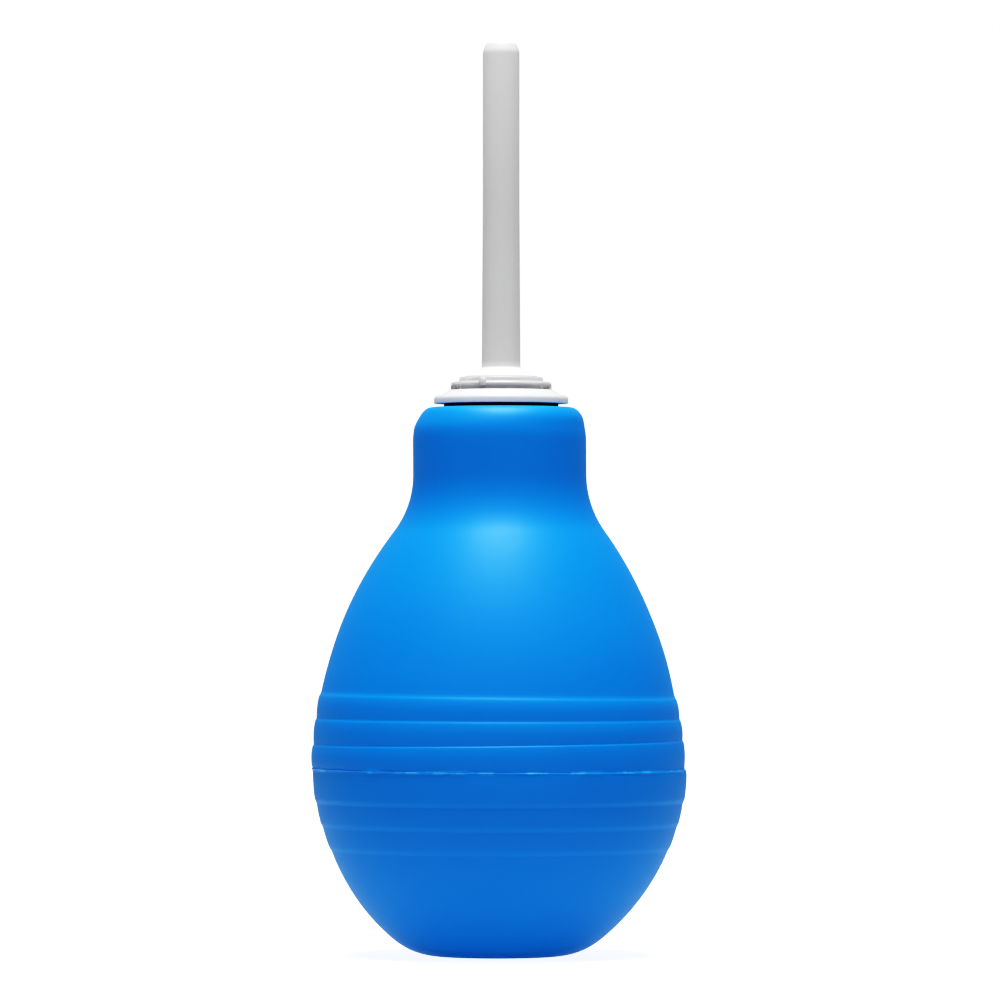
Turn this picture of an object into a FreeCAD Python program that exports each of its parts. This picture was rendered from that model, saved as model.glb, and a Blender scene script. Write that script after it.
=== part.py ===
import FreeCAD, Part
import math
import os

# A squeeze-bulb syringe: a soft ribbed bulb, a flanged plug that closes its neck, a one-way
# valve set under a clear cap, and a long straight nozzle pushed into the cap.
# Millimetres. The axis of the object is Z, and the bulb stands with its flat foot on z = 0.
# Every piece is turned about that axis, so most of them are one outline revolved.

# ---- bulb ----
belly_r = 39.4            # smooth belly, at the parting plane of its mould
parting_z = 40.0          # height of the widest place
foot_r = 12.2             # flat disc that the bulb stands on
base_blend_r = 16.0       # round between the foot and the belly
neck_r = 18.6             # straight part of the neck
shoulder_top_z = 102.6    # where the shoulder ends and the straight neck begins
neck_blend_r = 20.0       # hollow round between the shoulder and the neck
neck_top_z = 117.6        # end face of the neck
neck_edge_r = 5.0         # round at the top of the neck
bulb_wall = 2.6
lip_depth = 7.0           # length of the narrow mouth in the neck

# grip bands moulded around the belly, three above and three below the parting plane
band_count = 3
first_band_above_h = 5.6  # height of the first band above the parting plane
first_band_below_h = 6.8  # height of the first band below it
band_pitch = 5.1          # height of each of the others
band_step = 0.21          # how far a band stands out over the one beyond it
band_slope_h = 0.5        # height of the sloped edge between two bands
flash_h = 0.12            # thin ridge that the mould leaves at the parting plane
flash_half_w = 0.25

# ---- clearances ----
running_gap = 0.05        # radial gap of a piece that slides or is pushed home by hand
loose_gap = 0.3           # radial gap of a valve disc in its chamber
rest_gap = 0.02           # gap between a valve disc and the seat that it lies on
end_gap = 0.1             # gap under the end of the nozzle's spigot

# ---- clear cap and its seal ----
socket_r = 4.45           # socket that the nozzle is pushed into
socket_wall = 1.1
stop_t = 0.8              # ledge at the bottom of the socket
stop_w = 1.05
cap_t = 1.75
cap_edge_r = 0.6
cap_inset = 0.25          # how far the cap's rim lies inside the boss under it
cap_ledge_w = 1.85        # from the rim of the cap to its raised step
cap_step_t = 1.0
cap_step_edge_r = 0.25
cap_seal_t = 0.6
flow_slot_w = 1.6         # slots that stay open when the outlet valve is up
flow_slot_h = 0.8
flow_slot_count = 4
vent_slot_w = 3.2         # air slots under the rim of the cap
vent_slot_h = 1.0
vent_slot_count = 3
vent_slot_angle = 90      # direction of the first slot, towards the back of the object

# ---- valve body, pressed into the plug ----
tower_wall = 1.1          # wall of the chamber around the outlet valve
chamber_depth = 5.0       # from the top of the plug down to the web
web_t = 2.2
channel_w = 2.1           # air channel between the tower and the plug
outlet_hole_r = 3.0
seat_w = 0.7              # width of the raised ring that the outlet valve closes on
seat_h = 0.5
guide_wall = 2.2          # wall of the tube under the web that guides the inlet valve
guide_len = 4.2
vent_count = 6
vent_hole_r = 0.55

# ---- valves ----
outlet_valve_t = 0.8
outlet_travel = 1.06
inlet_valve_t = 0.6
inlet_travel = 0.95
cage_t = 1.0
cage_hole_r = 1.0

# ---- neck plug ----
stem_len = 14.0           # from the flange down into the neck
stem_wall = 1.3
ledge_w = 0.5             # step inside the stem that the valve body sits on
seal_rib_h = 0.9
seal_rib_proud = 0.45
seal_rib_count = 3
boss_w = 1.0              # how far the boss under the cap stands out over the stem
boss_t = 1.1
boss_slope_w = 1.9        # how far the boss widens down to the flange
flange_t = 1.85
flange_edge_r = 0.85
flange_overhang = 2.15    # how far the flange stands out over the gasket
gasket_w = 1.7            # how far the gasket covers the end of the neck
gasket_t = 0.75

# ---- nozzle and its ring ----
nozzle_len = 71.9         # from the seat on the cap to the tip
nozzle_bore_r = 2.0
tube_r = 3.96             # straight upper part of the tube
tube_foot_r = 4.17        # tube just above the hub
taper_len = 36.0          # height over which the foot of the tube narrows
tip_edge_r = 1.7
tip_bore_edge_r = 0.25
hub_r = 7.9
hub_rim_h = 0.2
hub_h = 1.8               # height of the cone from the rim of the hub up to the tube
hub_root_r = 0.5          # round where the tube grows out of the cone
ring_groove_depth = 0.8
ring_groove_h = 1.0
ring_below_cap = 1.7      # middle of the ring groove, below the nozzle's seat

# ---- radii, from the nozzle's socket outwards to the mouth of the bulb and the flange ----
spigot_r = socket_r - running_gap
stop_hole_r = socket_r - stop_w
skirt_r = socket_r + socket_wall
tower_bore_r = skirt_r + running_gap
tower_r = tower_bore_r + tower_wall
stem_bore_r = tower_r + channel_w
skirt_bore_r = stem_bore_r - ledge_w
inlet_valve_r = skirt_bore_r - loose_gap
vent_at_r = (tower_r + inlet_valve_r) / 2
guide_r = outlet_hole_r + guide_wall
stem_r = stem_bore_r + stem_wall
mouth_r = stem_r + seal_rib_proud + running_gap
gasket_r = mouth_r + gasket_w
flange_r = gasket_r + flange_overhang
boss_r = stem_r + boss_w
cap_r = boss_r - cap_inset
cap_step_r = cap_r - cap_ledge_w

# ---- heights, from the neck of the bulb upwards to the nozzle's tip ----
flange_z = neck_top_z + gasket_t
stem_end_z = flange_z - stem_len
boss_z = flange_z + flange_t
plug_top_z = boss_z + boss_t
web_top_z = plug_top_z - chamber_depth
web_z = web_top_z - web_t
guide_end_z = web_z - guide_len
seat_z = web_top_z + seat_h
outlet_valve_z = seat_z + rest_gap
skirt_z = outlet_valve_z + outlet_valve_t + outlet_travel
inlet_valve_z = web_z - rest_gap - inlet_valve_t
cage_top_z = inlet_valve_z - inlet_travel
cap_top_z = plug_top_z + cap_t
nozzle_seat_z = cap_top_z + cap_step_t
spigot_end_z = skirt_z + stop_t + end_gap
ring_z = nozzle_seat_z - ring_below_cap
nozzle_tip_z = nozzle_seat_z + nozzle_len

# slack used only to carry a cutting tool past the face that it cuts
overrun = 1.0


class Outline:
    """A closed outline in the half plane beside the axis, drawn point by point."""

    def __init__(self, r, z):
        self.start = self.last = FreeCAD.Vector(r, 0, z)
        self.edges = []

    def line(self, r, z):
        """A straight edge to the point (r, z)."""
        end = FreeCAD.Vector(r, 0, z)
        self.edges.append(Part.LineSegment(self.last, end).toShape())
        self.last = end
        return self

    def arc(self, centre, r, z):
        """An arc about a centre, the short way round, to the point (r, z)."""
        middle = FreeCAD.Vector(centre[0], 0, centre[1])
        end = FreeCAD.Vector(r, 0, z)
        towards = (self.last - middle) + (end - middle)
        towards.normalize()
        through = middle + towards * (self.last - middle).Length
        self.edges.append(Part.Arc(self.last, through, end).toShape())
        self.last = end
        return self

    def solid(self):
        """Close the outline and turn it about the axis."""
        if (self.last - self.start).Length > 1e-6:
            self.line(self.start.x, self.start.z)
        face = Part.Face(Part.Wire(self.edges))
        return face.revolve(FreeCAD.Vector(0, 0, 0), FreeCAD.Vector(0, 0, 1), 360)


def tube(inner_r, outer_r, low_z, high_z):
    """A plain ring or tube between two heights."""
    outline = Outline(inner_r, low_z)
    outline.line(outer_r, low_z).line(outer_r, high_z).line(inner_r, high_z)
    return outline.solid()


def around(tool, count, first_angle=0):
    """Copies of a tool, evenly spaced around the axis."""
    copies = []
    for i in range(count):
        copy = tool.copy()
        angle = first_angle + i * 360 / count
        copy.rotate(FreeCAD.Vector(0, 0, 0), FreeCAD.Vector(0, 0, 1), angle)
        copies.append(copy)
    return Part.makeCompound(copies)


def drill(r, at_r, low_z, high_z):
    """A round cutter parallel to the axis."""
    return Part.makeCylinder(r, high_z - low_z, FreeCAD.Vector(at_r, 0, low_z))


def radial_slot(width, inner_r, outer_r, low_z, high_z):
    """A square cutter that runs outwards from the axis."""
    corner = FreeCAD.Vector(inner_r, -width / 2, low_z)
    return Part.makeBox(outer_r - inner_r, width, high_z - low_z, corner)


# ---- the bulb's outline ----
# The belly is two arcs that meet upright at the parting plane. Their radii follow from the foot
# and the neck that they have to run into.

def lower_arc_radius():
    """The arc from the widest place that runs smoothly into the base blend."""
    out = belly_r - foot_r
    up = parting_z - base_blend_r
    return (out ** 2 + up ** 2 - base_blend_r ** 2) / (2 * (out - base_blend_r))


def upper_arc_radius():
    """The arc from the widest place that runs smoothly into the neck blend."""
    out = belly_r - neck_r - neck_blend_r
    up = shoulder_top_z - parting_z
    return (out ** 2 + up ** 2 - neck_blend_r ** 2) / (2 * (out + neck_blend_r))


lower_r = lower_arc_radius()
upper_r = upper_arc_radius()
lower_centre = (belly_r - lower_r, parting_z)
upper_centre = (belly_r - upper_r, parting_z)
base_centre = (foot_r, base_blend_r)
neck_centre = (neck_r + neck_blend_r, shoulder_top_z)


def along(centre, towards, distance):
    """The point at a distance from one centre, in the direction of another."""
    out = towards[0] - centre[0]
    up = towards[1] - centre[1]
    scale = distance / math.hypot(out, up)
    return centre[0] + out * scale, centre[1] + up * scale


def on_arc(centre, r, z):
    """The radius, from the axis, of an arc at a height."""
    return centre[0] + math.sqrt(r ** 2 - (z - centre[1]) ** 2)


def bands_height(count, first_h):
    """The height of this many bands, counted from the parting plane."""
    return first_h + (count - 1) * band_pitch if count else 0


def draw_bands(outline, centre, arc_r, first_h, direction):
    """The bands on one side of the parting plane, drawn upwards. Each is an arc that stands
    out over the belly, and a short slope joins it to the next one. Bands are counted from the
    parting plane, where the first one gives way to the mould ridge."""
    numbers = range(band_count) if direction > 0 else range(band_count - 1, -1, -1)
    for number in numbers:
        band_r = arc_r + (band_count - number) * band_step
        near = max(bands_height(number, first_h), flash_half_w)
        far = bands_height(number + 1, first_h) - band_slope_h
        low_z, high_z = sorted((parting_z + direction * near, parting_z + direction * far))
        outline.line(on_arc(centre, band_r, low_z), low_z)
        outline.arc(centre, on_arc(centre, band_r, high_z), high_z)


def bulb():
    """The squeeze bulb, one moulding, open only at its mouth."""
    lower_end = along(lower_centre, base_centre, lower_r)
    upper_end = along(upper_centre, neck_centre, upper_r)
    low_bands_z = parting_z - bands_height(band_count, first_band_below_h)
    high_bands_z = parting_z + bands_height(band_count, first_band_above_h)
    crest_r = belly_r + band_count * band_step
    outline = Outline(0, 0).line(foot_r, 0)
    outline.arc(base_centre, *lower_end)
    outline.arc(lower_centre, on_arc(lower_centre, lower_r, low_bands_z), low_bands_z)
    draw_bands(outline, lower_centre, lower_r, first_band_below_h, -1)
    outline.line(crest_r + flash_h, parting_z)
    draw_bands(outline, upper_centre, upper_r, first_band_above_h, 1)
    outline.line(on_arc(upper_centre, upper_r, high_bands_z), high_bands_z)
    outline.arc(upper_centre, *upper_end)
    outline.arc(neck_centre, neck_r, shoulder_top_z)
    outline.line(neck_r, neck_top_z - neck_edge_r)
    outline.arc((neck_r - neck_edge_r, neck_top_z - neck_edge_r), neck_r - neck_edge_r, neck_top_z)
    outline.line(mouth_r, neck_top_z).line(mouth_r, neck_top_z - lip_depth)
    # the inside is the same shape, one wall inwards
    inner_lower = along(lower_centre, base_centre, lower_r - bulb_wall)
    inner_upper = along(upper_centre, neck_centre, upper_r - bulb_wall)
    outline.line(neck_r - bulb_wall, neck_top_z - lip_depth)
    outline.line(neck_r - bulb_wall, shoulder_top_z)
    outline.arc(neck_centre, *inner_upper)
    outline.arc(upper_centre, belly_r - bulb_wall, parting_z)
    outline.arc(lower_centre, *inner_lower)
    outline.arc(base_centre, foot_r, bulb_wall)
    outline.line(0, bulb_wall)
    return outline.solid()


def neck_gasket():
    """Flat black ring between the flange and the end of the neck."""
    return tube(stem_r + running_gap, gasket_r, neck_top_z, flange_z)


def neck_plug():
    """Flange, boss and hollow stem in one white moulding. A ledge inside carries the valve
    body, and ribs on the stem seal the neck."""
    edge = flange_edge_r
    outline = Outline(skirt_bore_r, stem_end_z)
    outline.line(stem_r, stem_end_z).line(stem_r, flange_z).line(flange_r - edge, flange_z)
    outline.arc((flange_r - edge, flange_z + edge), flange_r, flange_z + edge)
    outline.line(flange_r, boss_z - edge)
    outline.arc((flange_r - edge, boss_z - edge), flange_r - edge, boss_z)
    outline.line(boss_r + boss_slope_w, boss_z)
    outline.line(boss_r, plug_top_z).line(stem_bore_r, plug_top_z)
    outline.line(stem_bore_r, web_z).line(skirt_bore_r, web_z)
    return outline.solid().fuse(seal_ribs()).removeSplitter()


def seal_ribs():
    """Blunt ribs on the stem that press against the mouth of the bulb."""
    pitch = lip_depth / seal_rib_count
    rib_r = mouth_r - running_gap
    root_r = stem_r - stem_wall / 2
    ribs = []
    for i in range(seal_rib_count):
        middle_z = neck_top_z - (i + 0.5) * pitch
        outline = Outline(root_r, middle_z - seal_rib_h / 2)
        outline.line(stem_r, middle_z - seal_rib_h / 2).line(rib_r, middle_z - seal_rib_h / 4)
        outline.line(rib_r, middle_z + seal_rib_h / 4).line(stem_r, middle_z + seal_rib_h / 2)
        outline.line(root_r, middle_z + seal_rib_h / 2)
        ribs.append(outline.solid())
    return ribs


def valve_body():
    """The web with its air holes, the seat and tower of the outlet valve above it, and the tube
    below it that guides the inlet valve."""
    outline = Outline(outlet_hole_r, guide_end_z)
    outline.line(guide_r, guide_end_z).line(guide_r, web_z).line(stem_bore_r, web_z)
    outline.line(stem_bore_r, web_top_z).line(tower_r, web_top_z)
    outline.line(tower_r, plug_top_z - cap_seal_t).line(tower_bore_r, plug_top_z - cap_seal_t)
    outline.line(tower_bore_r, web_top_z).line(outlet_hole_r + seat_w, web_top_z)
    outline.line(outlet_hole_r + seat_w, seat_z).line(outlet_hole_r, seat_z)
    vent = drill(vent_hole_r, vent_at_r, web_z - overrun, web_top_z + overrun)
    return outline.solid().cut(around(vent, vent_count))


def outlet_valve():
    """Silicone disc that lies on the seat and lifts when the bulb is squeezed."""
    return tube(0, tower_bore_r - loose_gap, outlet_valve_z, outlet_valve_z + outlet_valve_t)


def inlet_valve():
    """Silicone ring that closes the air holes from below and drops to let air in."""
    return tube(guide_r + running_gap, inlet_valve_r, inlet_valve_z,
                inlet_valve_z + inlet_valve_t)


def valve_cage():
    """Pierced ring pushed onto the guide tube. It keeps the inlet valve from falling out."""
    ring = tube(guide_r, skirt_bore_r, cage_top_z - cage_t, cage_top_z)
    middle_r = (guide_r + skirt_bore_r) / 2
    hole = drill(cage_hole_r, middle_r, cage_top_z - cage_t - overrun, cage_top_z + overrun)
    return ring.cut(around(hole, vent_count))


def cap_seal():
    """Soft ring between the tower and the cap. It keeps liquid out of the air channel."""
    return tube(tower_bore_r, tower_r, plug_top_z - cap_seal_t, plug_top_z)


def valve_cap():
    """Clear stepped cap over the valves, with the nozzle's socket in its middle. Slots under
    its rim let air reach the inlet valve."""
    edge = cap_edge_r
    step_edge = cap_step_edge_r
    outline = Outline(stop_hole_r, skirt_z)
    outline.line(skirt_r, skirt_z).line(skirt_r, plug_top_z).line(cap_r, plug_top_z)
    outline.line(cap_r, cap_top_z - edge)
    outline.arc((cap_r - edge, cap_top_z - edge), cap_r - edge, cap_top_z)
    outline.line(cap_step_r, cap_top_z).line(cap_step_r, nozzle_seat_z - step_edge)
    outline.arc((cap_step_r - step_edge, nozzle_seat_z - step_edge),
                cap_step_r - step_edge, nozzle_seat_z)
    outline.line(socket_r, nozzle_seat_z).line(socket_r, skirt_z + stop_t)
    outline.line(stop_hole_r, skirt_z + stop_t)
    vent = radial_slot(vent_slot_w, vent_at_r, cap_r + overrun,
                       plug_top_z - overrun, plug_top_z + vent_slot_h)
    flow = radial_slot(flow_slot_w, 0, skirt_r + overrun,
                       skirt_z - overrun, skirt_z + flow_slot_h)
    vents = around(vent, vent_slot_count, vent_slot_angle)
    return outline.solid().cut(vents).cut(around(flow, flow_slot_count))


def nozzle():
    """Long straight tube with a cone-shaped hub and a spigot that is pushed into the cap."""
    groove_r = spigot_r - ring_groove_depth
    rim_z = nozzle_seat_z + hub_rim_h
    tube_z = rim_z + hub_h
    edge = tip_edge_r
    lip = tip_bore_edge_r
    outline = Outline(nozzle_bore_r, spigot_end_z)
    outline.line(spigot_r, spigot_end_z).line(spigot_r, ring_z - ring_groove_h / 2)
    outline.line(groove_r, ring_z - ring_groove_h / 2).line(groove_r, ring_z + ring_groove_h / 2)
    outline.line(spigot_r, ring_z + ring_groove_h / 2).line(spigot_r, nozzle_seat_z)
    outline.line(hub_r, nozzle_seat_z).line(hub_r, rim_z).line(tube_foot_r, tube_z)
    outline.line(tube_r, tube_z + taper_len).line(tube_r, nozzle_tip_z - edge)
    outline.arc((tube_r - edge, nozzle_tip_z - edge), tube_r - edge, nozzle_tip_z)
    outline.line(nozzle_bore_r + lip, nozzle_tip_z)
    outline.arc((nozzle_bore_r + lip, nozzle_tip_z - lip), nozzle_bore_r, nozzle_tip_z - lip)
    body = outline.solid()
    return body.makeFillet(hub_root_r, rings_at(body, tube_foot_r, tube_z))


def rings_at(shape, r, z):
    """The round edges of a shape that have this radius and height."""
    return [edge for edge in shape.Edges
            if abs(edge.BoundBox.ZMin - z) < 1e-3 and abs(edge.BoundBox.ZMax - z) < 1e-3
            and abs(edge.Curve.Radius - r) < 1e-3]


def nozzle_o_ring():
    """Black ring that seals the spigot in its socket."""
    section_r = (ring_groove_depth - running_gap) / 2
    middle_r = spigot_r - ring_groove_depth / 2 + running_gap / 2
    return Part.makeTorus(middle_r, section_r, FreeCAD.Vector(0, 0, ring_z))


PIECES = [bulb, neck_gasket, neck_plug, valve_body, outlet_valve, inlet_valve, valve_cage,
          cap_seal, valve_cap, nozzle, nozzle_o_ring]

os.makedirs("parts", exist_ok=True)
for make in PIECES:
    shape = make()
    if not shape.isValid() or not shape.Solids:
        raise ValueError(make.__name__ + " is not a sound solid")
    shape.exportStep("parts/" + make.__name__ + ".step")
    box = shape.BoundBox
    print("%-14s %d solid, volume %9.1f mm3, z %.2f to %.2f, r %.2f"
          % (make.__name__, len(shape.Solids), shape.Volume, box.ZMin, box.ZMax, box.XMax))
print("lower arc %.2f, upper arc %.2f, tip at %.2f" % (lower_r, upper_r, nozzle_tip_z))
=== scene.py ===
# %% [markdown]
# # A squeeze-bulb syringe
# A soft blue bulb, a white plug with a clear valve cap, and a long straight nozzle. Almost every
# piece of it was turned or moulded round one axis, so the lesson is mostly about one old trick:
# draw half of the outline, spin it, and then take the perfection away again.
# The working parts are already there, packed as a frame. This script only makes the looks.

# %% Load the frame
import math

import bmesh
import bpy
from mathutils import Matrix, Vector, noise


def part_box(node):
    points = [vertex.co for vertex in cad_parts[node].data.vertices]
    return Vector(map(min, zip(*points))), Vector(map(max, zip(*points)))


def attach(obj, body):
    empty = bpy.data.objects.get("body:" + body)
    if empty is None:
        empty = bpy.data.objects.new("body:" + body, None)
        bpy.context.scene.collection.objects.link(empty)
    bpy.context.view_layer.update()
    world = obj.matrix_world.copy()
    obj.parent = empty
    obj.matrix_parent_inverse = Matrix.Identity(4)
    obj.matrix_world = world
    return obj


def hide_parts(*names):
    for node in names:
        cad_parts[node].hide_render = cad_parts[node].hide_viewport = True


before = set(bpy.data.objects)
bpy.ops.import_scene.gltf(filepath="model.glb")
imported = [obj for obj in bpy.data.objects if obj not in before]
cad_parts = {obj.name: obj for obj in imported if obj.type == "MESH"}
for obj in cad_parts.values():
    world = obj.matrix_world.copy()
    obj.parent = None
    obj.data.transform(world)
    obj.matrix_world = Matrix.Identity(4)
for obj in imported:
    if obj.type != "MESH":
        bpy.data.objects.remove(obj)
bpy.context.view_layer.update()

mm = 0.001
print("the frame holds", sorted(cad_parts))

# %% [markdown]
# ## The camera
# A product picture like this is taken from far away with a long lens, so that the nozzle and the
# bulb keep their true proportions. The camera stands at the height of the bulb's shoulder and
# looks up by less than one degree. It comes first, because every later choice is judged
# through it.

# %% Camera
camera_distance = 1500 * mm
camera_height = 76 * mm
frame_height = 214.5 * mm
frame_middle_z = 97.7 * mm
side_step = -0.24 * mm
sensor_width = 36.0

camera_data = bpy.data.cameras.new("camera")
camera_data.sensor_width = sensor_width
camera_data.lens = sensor_width * camera_distance / frame_height
camera = bpy.data.objects.new("camera", camera_data)
bpy.context.scene.collection.objects.link(camera)
camera.location = (side_step, -camera_distance, camera_height)
look = Vector((side_step, 0, frame_middle_z)) - camera.location
camera.rotation_euler = look.to_track_quat("-Z", "Y").to_euler()
bpy.context.scene.camera = camera
print("lens %.0f mm" % camera_data.lens)

# %% [markdown]
# ## Spinning an outline
# A lathe needs two things: a list of points beside the axis, and a loop that copies them round.
# Outlines are written here as corners, each with the radius of its round, because that is how a
# toolmaker thinks of them. No real edge is sharp, and it is the small rounds that catch light.

# %% Outlines from corners
round_step = math.radians(12)


def rounded(corners):
    """The points of a closed outline. Each corner is (r, z) or (r, z, radius of its round)."""
    points = []
    for i, corner in enumerate(corners):
        here = Vector(corner[:2])
        if len(corner) == 2:
            points.append(tuple(here))
            continue
        radius = corner[2]
        back = (Vector(corners[i - 1][:2]) - here).normalized()
        ahead = (Vector(corners[(i + 1) % len(corners)][:2]) - here).normalized()
        half = back.angle(ahead) / 2
        centre = here + (back + ahead).normalized() * radius / math.sin(half)
        first = here + back * radius / math.tan(half) - centre
        turn = math.copysign(math.pi - 2 * half, back.cross(ahead))
        steps = max(2, round(abs(turn) / round_step))
        for n in range(steps + 1):
            a = -turn * n / steps
            points.append((centre.x + first.x * math.cos(a) - first.y * math.sin(a),
                           centre.y + first.x * math.sin(a) + first.y * math.cos(a)))
    return points


# %% The lathe
sharp_angle = math.radians(40)
bulb_segments = 360
plug_segments = 256
nozzle_segments = 128


def lathe(name, outline, segments, shape=None):
    """Spin a closed outline into a mesh object. shape may move each point: it gets the point,
    its angle and its number in the outline."""
    form = bmesh.new()
    rings = []
    for number, (r, z) in enumerate(outline):
        if r < 1e-7:
            rings.append([form.verts.new((0, 0, z))])
            continue
        ring = []
        for i in range(segments):
            angle = 2 * math.pi * i / segments
            point = Vector((r * math.cos(angle), r * math.sin(angle), z))
            if shape:
                point = shape(point, angle, number)
            ring.append(form.verts.new(point))
        rings.append(ring)
    for lower, upper in zip(rings, rings[1:] + rings[:1]):
        if len(lower) == 1 and len(upper) == 1:
            continue
        for i in range(segments):
            j = (i + 1) % segments
            corners = [lower[i % len(lower)], lower[j % len(lower)],
                       upper[j % len(upper)], upper[i % len(upper)]]
            form.faces.new(list(dict.fromkeys(corners)))
    bmesh.ops.recalc_face_normals(form, faces=form.faces)
    mesh = bpy.data.meshes.new(name)
    form.to_mesh(mesh)
    form.free()
    mesh.shade_smooth()
    mesh.set_sharp_from_angle(angle=sharp_angle)
    piece = bpy.data.objects.new(name, mesh)
    bpy.context.scene.collection.objects.link(piece)
    print("%-18s %6d points" % (name, len(mesh.vertices)))
    return piece


# %% [markdown]
# ## The bulb
# The bulb is soft PVC, cast in a mould with an upper and a lower half. Its outline is a chain of
# rounds that run into each other: a flat foot, a wide belly, a long shoulder, a hollow curve and
# a straight neck. The three sizes that matter are where it stands, where it is widest and where
# the neck begins. The two long rounds between them follow, because each has to be upright at the
# widest place and must run smoothly into its neighbour.

# %% Sizes of the bulb
neck_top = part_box("bulb")[1].z
belly_r = 39.4 * mm
parting_z = 40.0 * mm
foot_r = 12.2 * mm
base_blend_r = 16.0 * mm
neck_r = 18.6 * mm
shoulder_top_z = 103.2 * mm
neck_blend_r = 20.5 * mm
neck_edge_w = 3.7 * mm
neck_edge_h = 7.2 * mm
wall = 2.6 * mm
lip_depth = 7.0 * mm
mouth_r = 10.6 * mm
mouth_edge_r = 0.3 * mm

out = belly_r - foot_r
up = parting_z - base_blend_r
lower_r = (out ** 2 + up ** 2 - base_blend_r ** 2) / (2 * (out - base_blend_r))
out = belly_r - neck_r - neck_blend_r
up = shoulder_top_z - parting_z
upper_r = (out ** 2 + up ** 2 - neck_blend_r ** 2) / (2 * (out + neck_blend_r))
lower_centre = Vector((belly_r - lower_r, parting_z))
upper_centre = Vector((belly_r - upper_r, parting_z))
base_centre = Vector((foot_r, base_blend_r))
neck_centre = Vector((neck_r + neck_blend_r, shoulder_top_z))
lower_joint = (base_centre - lower_centre).normalized()
upper_joint = (neck_centre - upper_centre).normalized()
print("belly rounds %.1f and %.1f mm" % (lower_r / mm, upper_r / mm))

# %% [markdown]
# ## Grip bands
# Six bands ring the belly so that wet fingers don't slip. The nearer one is to the parting
# plane, the further out it stands. The upper three are faintly pillowed: each leans back near
# its top edge, so it catches the lamp there. The step between two bands is only about a fifth
# of a millimetre, yet it is what the eye sees.
# The bands are written as a height above the belly, as a function of the distance from the
# parting plane. Each band adds a height, and a step of some width ends it. Above the plane the
# nearest step is crisp and the ones further up are soft. Below the plane every step is so soft
# that the bands only show as a slow change of shade.

# %% Band heights
band_pitch = 5.1 * mm
first_above_h = 5.6 * mm
first_below_h = 6.8 * mm
above_heights = (0.17 * mm, 0.14 * mm, 0.20 * mm)
above_step_widths = (0.36 * mm, 0.75 * mm, 1.5 * mm)
above_pillow = 0.22 * mm
below_heights = (0.28 * mm, 0.22 * mm, 0.20 * mm)
below_step_widths = (1.4 * mm, 1.4 * mm, 1.4 * mm)
below_pillow = 0.02 * mm
pillow_gain = 2.6  # a pillow is x - x ** 3, and this makes its highest point 1


def ease(x):
    """0 below 0, 1 above 1 and a smooth curve between."""
    x = min(max(x, 0), 1)
    return x * x * (3 - 2 * x)


def band_edges(first_h):
    """Distances of the band edges from the parting plane."""
    return [0, first_h, first_h + band_pitch, first_h + 2 * band_pitch]


def band_height(distance, edges, heights, step_widths, pillow):
    """How far the bands stand out at a distance from the parting plane."""
    total = 0
    for start, end in zip(edges, edges[1:]):
        along = (distance - start) / (end - start)
        if 0 < along < 1:
            total += pillow * pillow_gain * (along - along ** 3)
    for end, height, step_w in zip(edges[1:], heights, step_widths):
        total += height * (1 - ease((distance - end) / step_w + 0.5))
    return total


upper_edges = band_edges(first_above_h)
lower_edges = band_edges(first_below_h)


def bands(z):
    """How far the bands stand out at a height."""
    if z > parting_z:
        return band_height(z - parting_z, upper_edges, above_heights, above_step_widths,
                           above_pillow)
    return band_height(parting_z - z, lower_edges, below_heights, below_step_widths,
                       below_pillow)


print("the bands stand out %.2f mm at the parting plane" % (bands(parting_z) / mm))


# %% [markdown]
# A lathe needs its points where the outline changes quickly and nowhere else. So the heights of
# the rings are chosen first: close together at each band edge and at the parting plane, and far
# apart between them. The radius at a height then comes from the rounds.

# %% Heights of the rings
lower_turn = math.atan2(lower_joint.y, lower_joint.x)
upper_turn = math.atan2(upper_joint.y, upper_joint.x)
base_top_z = base_centre.y + base_blend_r * math.sin(lower_turn)
shoulder_z = upper_centre.y + upper_r * math.sin(upper_turn)
plain_step = 0.9 * mm
# a zone is how far it reaches to either side, and the distance between its rings
parting_zone = (0.9 * mm, 0.075 * mm)
crisp_zone = (0.6 * mm, 0.08 * mm)
soft_zone = (0.75 * mm, 0.15 * mm)


def spread(low, high, step):
    """Even heights from low up to high, without high itself."""
    count = max(1, math.ceil((high - low) / step))
    return [low + (high - low) * i / count for i in range(count)]


def ring_heights():
    """Heights of the rings from the end of the base blend to the end of the shoulder."""
    zones = [(parting_z, *parting_zone)]
    zones += [(parting_z + edge, *crisp_zone) for edge in upper_edges[1:]]
    zones += [(parting_z - edge, *soft_zone) for edge in lower_edges[1:]]
    heights = []
    z = base_top_z
    for at, reach, step in sorted(zones):
        heights += spread(z, at - reach, plain_step) + spread(at - reach, at + reach, step)
        z = at + reach
    return heights + spread(z, shoulder_z, plain_step)


def belly_radius(z, inset):
    """Radius of the belly at a height, a wall thickness inside the outer surface."""
    centre, radius = (upper_centre, upper_r) if z > parting_z else (lower_centre, lower_r)
    return centre.x + math.sqrt((radius - inset) ** 2 - (z - centre.y) ** 2)


def arc_points(centre, radius, start, end, step):
    """Points on a round about a centre, from one angle to another, in degrees."""
    steps = max(2, round(abs(end - start) / step))
    angles = [math.radians(start + (end - start) * i / steps) for i in range(steps + 1)]
    return [(centre.x + radius * math.cos(a), centre.y + radius * math.sin(a)) for a in angles]


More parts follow.
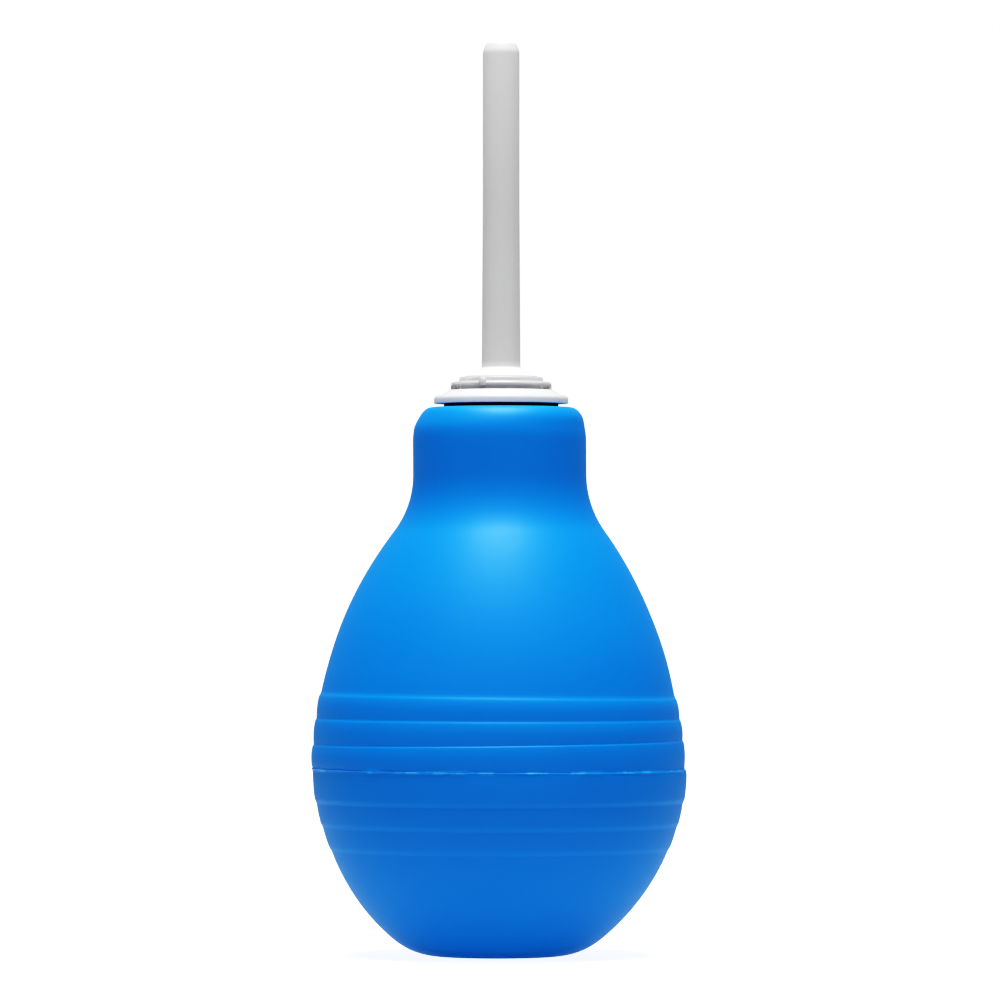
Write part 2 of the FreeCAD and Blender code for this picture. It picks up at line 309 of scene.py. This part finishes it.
# %% Outline of the bulb
outer = [(0, 0), (foot_r / 2, 0)]
outer += arc_points(base_centre, base_blend_r, -90, math.degrees(lower_turn), 5)[:-1]
outer += [(belly_radius(z, 0) + bands(z), z) for z in ring_heights()]
outer += arc_points(neck_centre, neck_blend_r, 180 + math.degrees(upper_turn), 180, 2)
edge_z = neck_top - neck_edge_h
neck_steps = 4
for i in range(1, neck_steps):
    outer.append((neck_r, shoulder_top_z + (edge_z - shoulder_top_z) * i / neck_steps))
edge_steps = 16
for i in range(edge_steps + 1):
    a = math.radians(90 * i / edge_steps)
    outer.append((neck_r - neck_edge_w * (1 - math.cos(a)), edge_z + neck_edge_h * math.sin(a)))
lip_centre = Vector((mouth_r + mouth_edge_r, neck_top - mouth_edge_r))
outer += arc_points(lip_centre, mouth_edge_r, 90, 180, 22)
outer_count = len(outer)

inner = arc_points(base_centre, base_blend_r - wall, -90, math.degrees(lower_turn), 12)
inner += arc_points(lower_centre, lower_r - wall, math.degrees(lower_turn), 0, 6)[1:]
inner += arc_points(upper_centre, upper_r - wall, 0, math.degrees(upper_turn), 6)[1:]
inner += arc_points(neck_centre, neck_blend_r + wall, 180 + math.degrees(upper_turn), 180, 8)[1:]
inner += [(neck_r - wall, neck_top - lip_depth), (mouth_r, neck_top - lip_depth)]
bulb_outline = outer + inner[::-1] + [(0, wall)]
print("bulb outline has %d points, %d of them outside" % (len(bulb_outline), outer_count))

# %% [markdown]
# ## Taking the perfection away
# A soft moulding never stands quite true. This one leans a little to one side, its grip bands
# are not quite level, and the halves of the mould meet in a ridge of flash that was trimmed by
# hand, so it is a wide torn film in one place and nearly gone in another. Each of these is a
# small smooth function. Noise is read from a circle in noise space, which makes it join up
# after a full turn.
# The lean is in millimetres and the tilt is a slope, both at heights in millimetres. The film
# is a list of places around the bulb, each with half of its width, in degrees.

# %% Lean and flash
lean_at = ((0, -0.85), (26, -0.30), (39, -0.30), (41, -0.65), (72, -0.72), (98, -0.28),
           (113, -0.34), (116, 0))
tilt_at = ((34, 0), (40, 0.006), (45.6, -0.011), (50.7, 0.003), (55.8, 0.013), (64, 0))


def between(pairs, x):
    """Reads a value from pairs of (position, value), smoothly from one to the next."""
    for (start, first), (end, second) in zip(pairs, pairs[1:]):
        if x < end:
            return first + (second - first) * ease((x - start) / (end - start))
    return pairs[-1][1]


def ring_noise(angle, waves, seed):
    """Noise from -1 to 1 that closes after a full turn."""
    radius = waves / (2 * math.pi)
    return noise.noise(Vector((radius * math.cos(angle), radius * math.sin(angle), seed)))


# the thin ridge that is always there, and what a torn film adds to it
ridge_half_w, film_half_w = 0.12 * mm, 0.34 * mm
ridge_h, film_h = 0.11 * mm, 0.12 * mm
ridge_wander, film_wander = 0.14 * mm, 0.10 * mm
ridge_h_change = 0.10 * mm
wander_waves, height_waves, tear_waves = 30, 45, 120

film_at = ((20, 5), (58, 9), (92, 4), (131, 7), (163, 3), (197, 7), (228, 4), (249, 5),
           (258, 3), (301, 5), (324, 8), (343, 4))


def film_left(angle):
    """How much film the trimming left at an angle, from 0 to 1."""
    turn = math.degrees(angle)
    return max(math.exp(-((turn - at) / half_w) ** 4) for at, half_w in film_at)


def flash(angle, z):
    """How far the trimmed ridge stands out at an angle and a height."""
    film = film_left(angle)
    torn = film * (0.5 + 0.5 * ring_noise(angle, tear_waves, 1.3))
    ridge_z = parting_z + ridge_wander * ring_noise(angle, wander_waves, 3.1) + film_wander * torn
    half_w = ridge_half_w + film_half_w * torn
    height = ridge_h + ridge_h_change * ring_noise(angle, height_waves, 5.2) + film_h * torn
    return max(height, 0) * math.exp(-((z - ridge_z) / half_w) ** 2)


def mould_bulb(point, angle, number):
    """Moves a point of the perfect bulb to where the soft moulding has it."""
    if number >= outer_count:
        return point
    height = point.z / mm
    ridge = flash(angle, point.z)
    return Vector((point.x + ridge * math.cos(angle) + between(lean_at, height) * mm,
                   point.y + ridge * math.sin(angle),
                   point.z - point.x * between(tilt_at, height)))


bulb = lathe("squeeze_bulb", bulb_outline, bulb_segments, mould_bulb)
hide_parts("bulb")
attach(bulb, "bulb")

# %% [markdown]
# ## The neck plug and its gasket
# The plug is hard white plastic. Its flange stops it at the neck, and ribs on the stem press
# into the soft mouth. A black ring lies between the flange and the bulb. Both are outlines with
# small rounds.

# %% Plug and gasket
plug_low, plug_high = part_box("neck_plug")
gasket_low, gasket_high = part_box("neck_gasket")
flange_r = plug_high.x
flange_z = gasket_high.z
flange_t = 1.85 * mm
boss_z = flange_z + flange_t
boss_r = 11.1 * mm
stem_r = 10.1 * mm
stem_bore_r = 8.8 * mm
ledge_r = 8.3 * mm
ledge_up = 4.2 * mm  # from the bottom of the valve body
ledge_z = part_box("valve_body")[0].z + ledge_up
rib_r = 10.55 * mm
rib_pitch = lip_depth / 3
rib_half = 0.45 * mm
flange_top_round = 0.95 * mm
boss_slope_w = 1.9 * mm
boss_foot_round = 0.4 * mm
tiny = 0.1 * mm
fine = 0.15 * mm
small = 0.2 * mm
soft = 0.3 * mm

plug_corners = [(ledge_r, plug_low.z, fine), (stem_r, plug_low.z, soft)]
for i in (2, 1, 0):
    rib_z = neck_top - (i + 0.5) * rib_pitch
    plug_corners += [(stem_r, rib_z - rib_half, tiny), (rib_r, rib_z - rib_half / 3, fine),
                     (rib_r, rib_z + rib_half / 3, fine), (stem_r, rib_z + rib_half, tiny)]
plug_corners += [(stem_r, flange_z, small), (flange_r, flange_z, fine),
                 (flange_r, boss_z, flange_top_round),
                 (boss_r + boss_slope_w, boss_z, boss_foot_round),
                 (boss_r, plug_high.z, fine), (stem_bore_r, plug_high.z, fine),
                 (stem_bore_r, ledge_z), (ledge_r, ledge_z, tiny)]
plug = lathe("flanged_plug", rounded(plug_corners), plug_segments)
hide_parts("neck_plug")
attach(plug, "plug")

gasket_round = 0.45 * (gasket_high.z - gasket_low.z)
gasket_bore_r = stem_r + 0.05 * mm
gasket = lathe("gasket_ring", rounded([
    (gasket_bore_r, gasket_low.z, fine), (gasket_high.x, gasket_low.z, gasket_round),
    (gasket_high.x, gasket_high.z, gasket_round),
    (gasket_bore_r, gasket_high.z, fine)]), plug_segments)
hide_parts("neck_gasket")
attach(gasket, "plug")

# %% [markdown]
# ## The clear cap
# Clear plastic is only as good as its inside: light goes in at the top, bends, and comes back
# from the white plug below. So the cap is a real solid with its skirt, its socket and its three
# air slots. The slots are cut with boxes, the way a slide in the mould would form them. In the
# working part they run on into the air channel. Here they are recesses about a millimetre deep,
# because a deep slot gives back no light and looks black. A small stub on the ledge is what the
# gate left, where the plastic was let into the mould.

# %% Cap with its slots
cap_low, cap_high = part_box("valve_cap")
cap_r = 10.85 * mm
cap_ledge_z = cap_high.z - 1.0 * mm
cap_rim_round = 0.65 * mm
cap_step_r = 9.0 * mm
cap_step_round = 0.35 * mm
socket_r = 4.45 * mm
skirt_r = 5.55 * mm
stop_r = 3.4 * mm
stop_z = cap_low.z + 0.8 * mm
slot_w = 3.2 * mm
slot_h = 1.0 * mm
slot_inner_r = 9.8 * mm
slot_angles = (90, 210, 330)
flow_slot_w = 1.6 * mm
flow_slot_h = 0.8 * mm
flow_slot_angles = (0, 90, 180, 270)
overrun = 1 * mm
gate_place = (-3.9 * mm, -9.6 * mm, 0)
gate_low_z = cap_ledge_z - 0.9 * mm
gate_high_z = cap_ledge_z + 0.7 * mm
gate_low_r, gate_high_r = 0.9 * mm, 0.8 * mm
gate_crown = 0.05 * mm
gate_segments = 24


def cutter(inner_r, outer_r, width, low_z, high_z, angle):
    """A box that runs outwards from the axis at an angle, in degrees, used to cut a slot."""
    form = bmesh.new()
    bmesh.ops.create_cube(form, size=1)
    size = Vector((outer_r - inner_r, width, high_z - low_z))
    bmesh.ops.scale(form, vec=size, verts=form.verts)
    middle = Vector(((inner_r + outer_r) / 2, 0, (low_z + high_z) / 2))
    bmesh.ops.translate(form, vec=middle, verts=form.verts)
    mesh = bpy.data.meshes.new("cutter")
    form.to_mesh(mesh)
    form.free()
    tool = bpy.data.objects.new("cutter", mesh)
    tool.rotation_euler.z = math.radians(angle)
    bpy.context.scene.collection.objects.link(tool)
    return tool


def combine(piece, tools, operation):
    """Cut the tools out of the piece, or join them to it, and throw the tools away."""
    for tool in tools:
        change = piece.modifiers.new("combine", "BOOLEAN")
        change.object = tool
        change.operation = operation
        change.solver = "EXACT"
    bpy.context.view_layer.update()
    solid = piece.evaluated_get(bpy.context.evaluated_depsgraph_get())
    mesh = bpy.data.meshes.new_from_object(solid)
    piece.modifiers.clear()
    piece.data = mesh
    mesh.set_sharp_from_angle(angle=sharp_angle)
    for tool in tools:
        bpy.data.objects.remove(tool)


cap = lathe("clear_cap", rounded([
    (stop_r, cap_low.z, tiny), (skirt_r, cap_low.z, small), (skirt_r, plug_high.z, fine),
    (cap_r, plug_high.z, small), (cap_r, cap_ledge_z, cap_rim_round),
    (cap_step_r, cap_ledge_z, small), (cap_step_r, cap_high.z, cap_step_round),
    (socket_r, cap_high.z, small), (socket_r, stop_z, tiny),
    (stop_r, stop_z, tiny)]), plug_segments)
slots = [cutter(slot_inner_r, cap_r + overrun, slot_w, plug_high.z - overrun,
                plug_high.z + slot_h, angle) for angle in slot_angles]
flow_slots = [cutter(0, skirt_r + overrun, flow_slot_w, cap_low.z - overrun,
                     cap_low.z + flow_slot_h, angle) for angle in flow_slot_angles]
combine(cap, slots + flow_slots, "DIFFERENCE")
gate = lathe("gate", [(0, gate_low_z), (gate_low_r, gate_low_z), (gate_high_r, gate_high_z),
                      (0, gate_high_z + gate_crown)], gate_segments)
gate.location = gate_place
combine(cap, [gate], "UNION")
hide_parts("valve_cap")
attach(cap, "plug")

# %% [markdown]
# ## The nozzle
# One long tube with a cone at its foot and a round, blunt tip. The lower half narrows a little,
# which lets it out of the mould. The spigot under the cone carries a ring in a groove.

# %% Nozzle
nozzle_low, nozzle_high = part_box("nozzle")
nozzle_bore_r = 2.0 * mm
tube_r = 3.96 * mm
tube_foot_r = 4.17 * mm
spigot_r = 4.4 * mm
groove_r = 3.6 * mm
groove_z = cap_high.z - 1.7 * mm
groove_half = 0.5 * mm
hub_r = 7.9 * mm
hub_rim_z = cap_high.z + 0.2 * mm
hub_top_z = hub_rim_z + 1.8 * mm
taper_top_z = hub_top_z + 36 * mm
tip_h = 1.9 * mm
tip_w = 0.85 * mm
tip_shoulder_round = 2.6 * mm
tip_round = 0.8 * mm
tip_mouth_round = 0.25 * mm
hub_edge_round = 0.08 * mm
hub_neck_round = 0.5 * mm
taper_round = 60 * mm
hub_gap = 0.01 * mm

nozzle = lathe("nozzle_tube", rounded([
    (nozzle_bore_r, nozzle_low.z, fine), (spigot_r, nozzle_low.z, soft),
    (spigot_r, groove_z - groove_half), (groove_r, groove_z - groove_half, fine),
    (groove_r, groove_z + groove_half, fine), (spigot_r, groove_z + groove_half),
    (spigot_r, cap_high.z + hub_gap), (hub_r, cap_high.z + hub_gap, hub_edge_round),
    (hub_r, hub_rim_z, hub_edge_round), (tube_foot_r, hub_top_z, hub_neck_round),
    (tube_r, taper_top_z, taper_round), (tube_r, nozzle_high.z - tip_h, tip_shoulder_round),
    (tube_r - tip_w, nozzle_high.z, tip_round),
    (nozzle_bore_r, nozzle_high.z, tip_mouth_round)]), nozzle_segments)
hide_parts("nozzle")
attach(nozzle, "nozzle")

# %% [markdown]
# ## Shader maths as plain sums
# A material is a small program. Written as nodes it is hard to read, so two helpers let it be
# written as sums: a Wire is the output of a node and knows how to add and multiply, and a Paint
# is the node tree of one material, with one method that makes any node.

# %% Wires and paints
class Wire:
    """The output of a shader node. A sum written with it becomes a Math node."""

    def __init__(self, paint, socket):
        self.paint = paint
        self.socket = socket

    def maths(self, operation, first, second):
        return self.paint.node("Math", {"operation": operation}, first, second)

    def __add__(self, other):
        return self.maths("ADD", self, other)

    def __radd__(self, other):
        return self.maths("ADD", other, self)

    def __sub__(self, other):
        return self.maths("SUBTRACT", self, other)

    def __rsub__(self, other):
        return self.maths("SUBTRACT", other, self)

    def __mul__(self, other):
        return self.maths("MULTIPLY", self, other)

    def __rmul__(self, other):
        return self.maths("MULTIPLY", other, self)

    def __truediv__(self, other):
        return self.maths("DIVIDE", self, other)

    def __rtruediv__(self, other):
        return self.maths("DIVIDE", other, self)


class Paint:
    """The node tree of one material, or of the world."""

    def __init__(self, owner):
        self.owner = owner
        owner.use_nodes = True
        self.tree = owner.node_tree
        shaders = ("BSDF_PRINCIPLED", "BACKGROUND")
        self.shader = next(node for node in self.tree.nodes if node.type in shaders)
        self.place = self.node("TexCoord", {"output": "Object"})

    def node(self, kind, settings, *values, **named):
        """Make any node. Settings are set first, then values or wires go to its inputs."""
        made = self.tree.nodes.new("ShaderNode" + kind)
        output = settings.get("output", 0)
        for key, value in settings.items():
            if key == "stops":
                self.stops(made.color_ramp, value)
            elif key != "output":
                setattr(made, key, value)
        inputs = [socket for socket in made.inputs if socket.enabled]
        for socket, value in zip(inputs, values):
            self.feed(socket, value)
        for name, value in named.items():
            wanted = name.replace("_", " ")
            self.feed(next(s for s in inputs if s.name.lower() == wanted), value)
        outputs = [socket for socket in made.outputs if socket.enabled]
        if isinstance(output, str):
            return Wire(self, made.outputs[output])
        return Wire(self, outputs[output])

    def stops(self, ramp, stops):
        """Stops of a colour ramp, as (position, grey value)."""
        while len(ramp.elements) < len(stops):
            ramp.elements.new(0.5)
        for element, (position, value) in zip(ramp.elements, stops):
            element.position = position
            element.color = (value, value, value, 1)

    def feed(self, socket, value):
        """Link a wire to a socket, or set the socket to a number or colour."""
        if isinstance(value, Wire):
            self.tree.links.new(value.socket, socket)
        elif isinstance(value, tuple) and len(value) == 3 and socket.type == "RGBA":
            socket.default_value = (*value, 1)
        else:
            socket.default_value = value

    def finish(self, **sockets):
        """Set the shader's own sockets by name."""
        for name, value in sockets.items():
            wanted = name.replace("_", " ")
            socket = next(s for s in self.shader.inputs if s.name.lower() == wanted)
            self.feed(socket, value)
        return self.owner

    def cloud(self, size, detail, place=None):
        """Soft noise from 0 to 1 whose blobs are about this size, in metres."""
        return self.node("TexNoise", {"output": "Fac"}, place or self.place,
                         scale=1 / size, detail=detail)

    def mix(self, share, first, second):
        """Blend two colours."""
        return self.node("Mix", {"data_type": "RGBA"}, share, first, second)

    def bump(self, height, depth, under=None):
        """A bump of this depth, in metres, from a height of 0 to 1, on top of another bump."""
        named = {"normal": under} if under else {}
        return self.node("Bump", {}, height=height, distance=depth, strength=1.0, **named)


def finish_piece(piece, material):
    """Give a piece one material and nothing else."""
    piece.data.materials.clear()
    piece.data.materials.append(material)


# %% [markdown]
# ## Soft blue PVC
# The mould was sand-blasted, so the skin is satin: a grain far finer than a millimetre spreads
# every reflection. The colour is a deep blue with slow, faint clouds where the plastic flowed.
# Along the parting plane the trimmed flash is paler: partly the real whitening of torn plastic,
# partly painted highlight that also lifts the shade under the film.

# %% Bulb material
def bulb_material():
    paint = Paint(bpy.data.materials.new("soft_blue_pvc"))
    deep = (0.004, 0.268, 0.80)
    pale = (0.006, 0.288, 0.84)
    # paler blue of the trimmed flash: partly real whitening, partly painted highlight
    torn = (0.10, 0.46, 0.92)
    flow = paint.cloud(22 * mm, 3.0)
    colour = paint.mix(flow, deep, pale)
    height = paint.node("SeparateXYZ", {"output": "Z"}, paint.place)
    off_plane = paint.node("Math", {"operation": "ABSOLUTE"}, height - parting_z)
    flash_reach = 0.45 * mm
    whitening_and_highlight_share = 0.8
    on_flash = paint.node("Math", {"operation": "SUBTRACT", "use_clamp": True},
                          1.0, off_plane / flash_reach)
    patches = paint.node("ValToRGB", {"stops": ((0.50, 0), (0.62, 1))},
                         paint.cloud(3.2 * mm, 3.0))
    # the flash is painted paler here: real whitening plus painted highlight that lifts the shade
    # under the film
    colour = paint.mix(on_flash * patches * whitening_and_highlight_share, colour, torn)
    grain = paint.cloud(0.16 * mm, 2.0)
    skin = paint.cloud(0.9 * mm, 3.0)
    wave = paint.cloud(9 * mm, 2.0)
    normal = paint.bump(wave, 0.03 * mm)
    normal = paint.bump(skin, 0.008 * mm, normal)
    normal = paint.bump(grain, 0.006 * mm, normal)
    rough = 0.46 + 0.08 * skin + 0.06 * patches * on_flash
    return paint.finish(base_color=colour, roughness=rough, normal=normal, ior=1.45,
                        specular_ior_level=0.6, specular_tint=(0.6, 0.74, 1.0))


finish_piece(bulb, bulb_material())

# %% [markdown]
# ## Hard white plastic
# The plug is glossy, but not a mirror: a faint ripple from the mould and a touch of haze from
# handling keep it from looking like porcelain.

# %% White material
def white_material():
    paint = Paint(bpy.data.materials.new("hard_white_plastic"))
    tone = paint.mix(paint.cloud(6 * mm, 3.0), (0.80, 0.81, 0.82), (0.86, 0.865, 0.87))
    ripple = paint.bump(paint.cloud(1.6 * mm, 2.0), 0.006 * mm)
    haze = paint.cloud(2.5 * mm, 4.0)
    return paint.finish(base_color=tone, roughness=0.20 + 0.10 * haze, normal=ripple, ior=1.53)


white = white_material()
finish_piece(plug, white)
for name in ("valve_body", "valve_cage"):
    finish_piece(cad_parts[name], white)

# %% [markdown]
# ## Satin nozzle plastic
# The nozzle is greyer and duller than the plug. The hub faces up to the lamp, and it is painted
# nearly white as painted light. It also grows a little lighter towards the tip. Long faint
# streaks run along the tube, left by the polishing of the mould, so their noise is stretched
# along it.

# %% Nozzle material
def nozzle_material():
    paint = Paint(bpy.data.materials.new("satin_grey_plastic"))
    along_tube = (1.0, 1.0, 0.03)
    streak_place = paint.node("VectorMath", {"operation": "MULTIPLY"}, paint.place, along_tube)
    streaks = paint.cloud(0.35 * mm, 3.0, streak_place)
    tone = paint.mix(paint.cloud(12 * mm, 3.0), (0.70, 0.70, 0.70), (0.74, 0.74, 0.735))
    height = paint.node("SeparateXYZ", {"output": "Z"}, paint.place)
    along = paint.node("Math", {"operation": "MAXIMUM"},
                       (height - hub_top_z) / (nozzle_high.z - hub_top_z), 0.0)
    tone = paint.mix(along * along, tone, (0.85, 0.85, 0.85))
    # painted light: the hub faces up to the lamp, so it is painted nearly white to look lit
    painted_hub_light_fade_h = 1.5 * mm
    painted_hub_light = paint.node("Math", {"operation": "SUBTRACT", "use_clamp": True},
                        1.0, (height - hub_top_z) / painted_hub_light_fade_h)
    tone = paint.mix(painted_hub_light, tone, (0.95, 0.95, 0.95))
    normal = paint.bump(streaks, 0.006 * mm)
    normal = paint.bump(paint.cloud(0.2 * mm, 2.0), 0.004 * mm, normal)
    return paint.finish(base_color=tone, roughness=0.36 + 0.10 * streaks, normal=normal, ior=1.5)


finish_piece(nozzle, nozzle_material())

# %% [markdown]
# ## Clear plastic, rubber and silicone
# The clear cap is a solid that bends light, with fine scratches that only show as haze. Seen
# from the side, a clear rim is darker than a flat face, because the light that enters it runs on
# around the rim instead of coming back; the colour of the rim stands for that. The gasket is
# matt black rubber with a dusty bloom, and the valves are milky silicone.

# %% Remaining materials
def clear_material():
    paint = Paint(bpy.data.materials.new("clear_plastic"))
    haze = paint.cloud(1.2 * mm, 4.0)
    tone = paint.mix(haze, (0.90, 0.90, 0.92), (0.96, 0.96, 0.97))
    flattened = paint.node("VectorMath", {"operation": "MULTIPLY"}, paint.place,
                           (1.0, 1.0, 0.0))
    radius = paint.node("VectorMath", {"operation": "LENGTH"}, flattened)
    height = paint.node("SeparateXYZ", {"output": "Z"}, paint.place)
    rim_t = 0.3 * mm
    rim_fade_h = 1.2 * mm
    at_rim = paint.node("Math", {"operation": "ADD", "use_clamp": True},
                        (radius - cap_r) / rim_t, 1.0)
    low_down = paint.node("Math", {"operation": "DIVIDE", "use_clamp": True},
                          cap_ledge_z - height, rim_fade_h)
    tone = paint.mix(at_rim * low_down, tone, (0.50, 0.50, 0.53))
    normal = paint.bump(paint.cloud(0.8 * mm, 2.0), 0.006 * mm)
    return paint.finish(base_color=tone, roughness=0.14 + 0.12 * haze, normal=normal, ior=1.5,
                        transmission_weight=0.35, subsurface_weight=0.8,
                        subsurface_radius=(1.0, 1.0, 1.1), subsurface_scale=1.5 * mm)


def rubber_material():
    paint = Paint(bpy.data.materials.new("black_rubber"))
    bloom = paint.cloud(1.5 * mm, 4.0)
    tone = paint.mix(bloom, (0.010, 0.010, 0.011), (0.028, 0.028, 0.030))
    normal = paint.bump(paint.cloud(0.15 * mm, 2.0), 0.01 * mm)
    return paint.finish(base_color=tone, roughness=0.55 + 0.2 * bloom, normal=normal, ior=1.5)


def silicone_material():
    paint = Paint(bpy.data.materials.new("milky_silicone"))
    cloud = paint.cloud(2.5 * mm, 3.0)
    tone = paint.mix(cloud, (0.70, 0.72, 0.73), (0.80, 0.81, 0.81))
    normal = paint.bump(paint.cloud(0.3 * mm, 2.0), 0.006 * mm)
    return paint.finish(base_color=tone, roughness=0.35 + 0.15 * cloud, normal=normal, ior=1.41)


finish_piece(cap, clear_material())
rubber = rubber_material()
finish_piece(gasket, rubber)
finish_piece(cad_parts["nozzle_o_ring"], rubber)
silicone = silicone_material()
for name in ("outlet_valve", "inlet_valve", "cap_seal"):
    finish_piece(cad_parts[name], silicone)

# %% [markdown]
# ## Floor and light
# A white sweep curves up behind and around the object, so that no edge of the floor shows. It
# glows a little itself, which keeps the shade under the bulb as faint as in a catalogue picture.
# So bright a floor would throw its light back up and wash out the deep blue of the underside.
# A studio keeps the white paper far away to avoid that. Here the sweep is hidden from the light
# that bounces off the object, and a grey card that only such light can see takes its place.

# %% Sweep
def sweep_material():
    paint = Paint(bpy.data.materials.new("white_sweep"))
    tone = paint.mix(paint.cloud(200 * mm, 2.0), (0.92, 0.92, 0.92), (0.94, 0.94, 0.94))
    paint.owner.cycles.emission_sampling = "NONE"  # it is seen, but it is no lamp
    return paint.finish(base_color=tone, roughness=1.0, emission_color=(1.0, 1.0, 1.0),
                        emission_strength=0.75)


flat_r = 2.0
cove_r = 2.0
sheet_t = 0.01
sweep_segments = 96
cove = arc_points(Vector((flat_r, cove_r)), cove_r, -90, 0, 6)
cove_back = arc_points(Vector((flat_r, cove_r)), cove_r + sheet_t, 0, -90, 6)
sweep = lathe("sweep", [(0, 0)] + cove + cove_back + [(0, -sheet_t)], sweep_segments)
sweep.visible_diffuse = False
sweep.visible_glossy = False
sweep.visible_shadow = False
finish_piece(sweep, sweep_material())

# %% Grey card
def card_material():
    paint = Paint(bpy.data.materials.new("grey_card"))
    tone = paint.mix(paint.cloud(50 * mm, 2.0), (0.59, 0.59, 0.59), (0.63, 0.63, 0.63))
    return paint.finish(base_color=tone, roughness=1.0)


card_t = 1 * mm
card_r = 1.2
card_z = -2 * sheet_t
card_segments = 64
card = lathe("grey_card", [(0, card_z), (card_r, card_z), (card_r, card_z - card_t),
                           (0, card_z - card_t)], card_segments)
card.visible_camera = False
finish_piece(card, card_material())

# %% [markdown]
# The only lamp is a large square softbox overhead. It makes a surface that faces up much
# brighter than one that faces sideways, and that is what models the bulb's shoulder. The room
# itself is dim, so the card on the floor does the filling in. Only the back wall is brighter,
# and it is seen in the grazing reflections along the edges.

# %% Lamp and room
def softbox(name, place, aim, size, power):
    """A square lamp at a place, turned towards a point."""
    data = bpy.data.lights.new(name, "AREA")
    data.shape = "SQUARE"
    data.size = size
    data.energy = power
    lamp = bpy.data.objects.new(name, data)
    lamp.location = place
    lamp.rotation_euler = (Vector(aim) - Vector(place)).to_track_quat("-Z", "Y").to_euler()
    bpy.context.scene.collection.objects.link(lamp)


middle = (0, 0, 90 * mm)
lamp_place = (0, -0.27, 2.2)
lamp_size = 1.15
lamp_power = 61
softbox("top_light", lamp_place, middle, lamp_size, lamp_power)


def room():
    """A dim room, brighter at the back."""
    paint = Paint(bpy.data.worlds.new("grey_room"))
    towards = paint.node("TexCoord", {"output": "Generated"})
    back = paint.node("SeparateXYZ", {"output": "Y"}, towards)
    behind = paint.node("Math", {"operation": "MAXIMUM"}, back, 0.0)
    dim = (0.05, 0.05, 0.05)
    back_wall = (0.40, 0.40, 0.40)
    tone = paint.mix(behind * behind, dim, back_wall)
    paint.finish(color=tone, strength=1.0)
    return paint.owner


bpy.context.scene.world = room()

# %% [markdown]
# ## The picture style
# Product pictures are developed with an S-shaped curve: darks go deeper, lights roll off softly.
# On a saturated blue it has a second effect. The green in the colour falls faster than the blue
# when the surface turns away from the lamp, so the shade looks richer instead of merely darker.

# %% Contrast curve
curve_knee = 0.165
style = bpy.context.scene.view_settings
style.view_transform = "Standard"
style.use_curve_mapping = True
curve = style.curve_mapping.curves[3]  # the fourth curve is the one for all three colours


def developed(light):
    """How bright a light level, from 0 to 1, comes out in the picture."""
    return (1 + curve_knee) * light ** 2 / (light ** 2 + curve_knee)


for light in (0.05, 0.1, 0.15, 0.2, 0.3, 0.42, 0.6, 0.8):
    curve.points.new(light, developed(light))
style.curve_mapping.update()
print("curve lifts 0.4 to %.2f" % developed(0.4))
